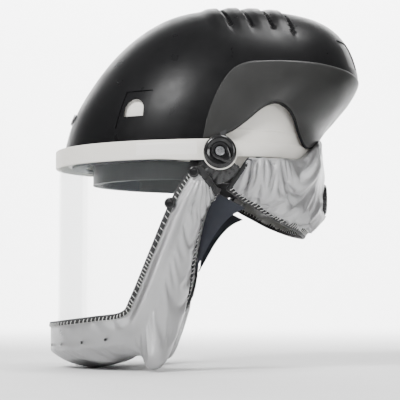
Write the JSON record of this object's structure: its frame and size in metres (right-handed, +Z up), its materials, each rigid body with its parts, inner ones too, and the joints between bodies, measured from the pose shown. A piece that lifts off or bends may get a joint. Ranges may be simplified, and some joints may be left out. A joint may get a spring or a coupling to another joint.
{
  "type": "powered air respirator helmet",
  "caption": "Head-worn powered air respirator with a fan and filters under a lift-off cover, a tilting clear visor, a fabric face seal and a neck cape.",
  "frame": {"origin": "midpoint of the visor pivot axis, where the head sits in the helmet", "axes": "+Z up, -Y towards the face, +X to the wearer's left"},
  "size_m": [0.248, 0.2934, 0.3346],
  "materials": {
    "shell_black": "satin",
    "panel_grey": "satin",
    "badge_grey": "satin",
    "base_white": "satin",
    "duct_grey": "matte",
    "foam_black": "matte",
    "steel": "brushed",
    "wheel_black": "satin",
    "filter_white": "matte",
    "filter_paper": "matte",
    "battery_blue": "satin",
    "cell_green": "gloss",
    "webbing": "woven",
    "board_green": "satin",
    "wire_red": "satin",
    "switch_black": "satin",
    "switch_red": "gloss",
    "catch_white": "satin",
    "band_black": "satin",
    "pad_navy": "matte",
    "knob_black": "gloss",
    "bush_grey": "satin",
    "frame_white": "satin",
    "visor_clear": "clear",
    "snap_black": "gloss",
    "fabric_silver": "woven, metallic",
    "edge_black": "stitched"
  },
  "bodies": {
    "helmet": {"base_shell": "base_white", "air_duct": "duct_grey", "brow_seal": "foam_black", "fan_housing": "duct_grey", "fan_lid": "duct_grey", "fan_screws": "steel", "motor": "steel", "filter_left_frame": "filter_white", "filter_left_pleats": "filter_paper", "filter_right_frame": "filter_white", "filter_right_pleats": "filter_paper", "filter_gaskets": "foam_black", "battery_case": "battery_blue", "battery_cells": "cell_green", "battery_strap": "webbing", "circuit_board": "board_green", "wiring_loom": "wire_red", "switch_housing": "switch_black", "charge_socket": "switch_black", "headband": "band_black", "sweatband": "pad_navy", "crown_straps": "webbing", "crown_pad": "pad_navy", "harness_clips": "base_white", "nape_housing": "band_black", "nape_pad": "pad_navy", "pivot_bushes": "bush_grey", "pivot_washers": "foam_black", "pivot_screws": "steel", "neck_cape": "fabric_silver", "cape_hem": "edge_black", "cape_front_edges": "edge_black", "pivot_flaps": "edge_black"},
    "cover": {"top_cover": "shell_black", "side_panel_left": "panel_grey", "side_panel_right": "panel_grey", "front_badge": "badge_grey"},
    "fan": {"impeller": "wheel_black", "motor_shaft": "steel"},
    "rocker": {"switch_rocker": "switch_red"},
    "cap": {"charge_cap": "foam_black"},
    "catch_left": {"cover_catch_left": "catch_white"},
    "catch_right": {"cover_catch_right": "catch_white"},
    "rack_left": {"nape_rack_left": "bush_grey"},
    "rack_right": {"nape_rack_right": "bush_grey"},
    "ratchet": {"ratchet_pinion": "bush_grey", "ratchet_knob": "knob_black"},
    "knob_left": {"pivot_knob_left": "knob_black"},
    "knob_right": {"pivot_knob_right": "knob_black"},
    "visor": {"visor_frame": "frame_white", "visor_lens": "visor_clear", "lens_snaps": "snap_black", "chin_studs": "snap_black", "face_seal": "fabric_silver", "seal_front_edge": "edge_black", "seal_rear_edge": "edge_black", "temple_liners": "pad_navy"}
  },
  "joints": [
    {"name": "visor_tilt", "type": "hinge", "parent": "helmet", "child": "visor", "pos_m": [0, 0, 0], "axis": [-1, 0, 0], "range_deg": [0, 65]},
    {"name": "knob_left_turn", "type": "hinge", "parent": "helmet", "child": "knob_left", "pos_m": [0.116, 0, 0], "axis": [1, 0, 0], "range_deg": [0, 180]},
    {"name": "knob_right_turn", "type": "hinge", "parent": "helmet", "child": "knob_right", "pos_m": [-0.116, 0, 0], "axis": [-1, 0, 0], "range_deg": [0, 180]},
    {"name": "cover_lift", "type": "slide", "parent": "helmet", "child": "cover", "axis": [0, 0, -1], "range_m": [-0.12, 0]},
    {"name": "catch_left_press", "type": "slide", "parent": "helmet", "child": "catch_left", "axis": [-0.891, 0.454, 0], "range_m": [0, 0.002], "stiffness_N_per_m": 500},
    {"name": "catch_right_press", "type": "slide", "parent": "helmet", "child": "catch_right", "axis": [0.891, 0.454, 0], "range_m": [0, 0.002], "stiffness_N_per_m": 500},
    {"name": "fan_spin", "type": "hinge", "parent": "helmet", "child": "fan", "pos_m": [0, -0.054, 0.08], "axis": [0, 0, 1], "continuous": true},
    {"name": "ratchet_turn", "type": "hinge", "parent": "helmet", "child": "ratchet", "pos_m": [0, 0.088, -0.033], "axis": [0, 1, 0], "range_deg": [-80, 80]},
    {"name": "rack_left_slide", "type": "slide", "parent": "helmet", "child": "rack_left", "axis": [1, 0, 0], "range_m": [-0.006, 0.006]},
    {"name": "rack_right_slide", "type": "slide", "parent": "helmet", "child": "rack_right", "axis": [-1, 0, 0], "range_m": [-0.006, 0.006]},
    {"name": "switch_rock", "type": "hinge", "parent": "helmet", "child": "rocker", "pos_m": [-0.0969, 0.044, 0.022], "axis": [0, 0, 1], "range_deg": [-8, 8]},
    {"name": "charge_cap_hinge", "type": "hinge", "parent": "helmet", "child": "cap", "pos_m": [-0.1046, 0.027, 0.0132], "axis": [0, 1, 0], "range_deg": [0, 100]}
  ],
  "couplings": [
    {"joint": "rack_left_slide", "follows": "ratchet_turn", "m_per_rad": 0.0042},
    {"joint": "rack_right_slide", "follows": "ratchet_turn", "m_per_rad": 0.0042}
  ]
}
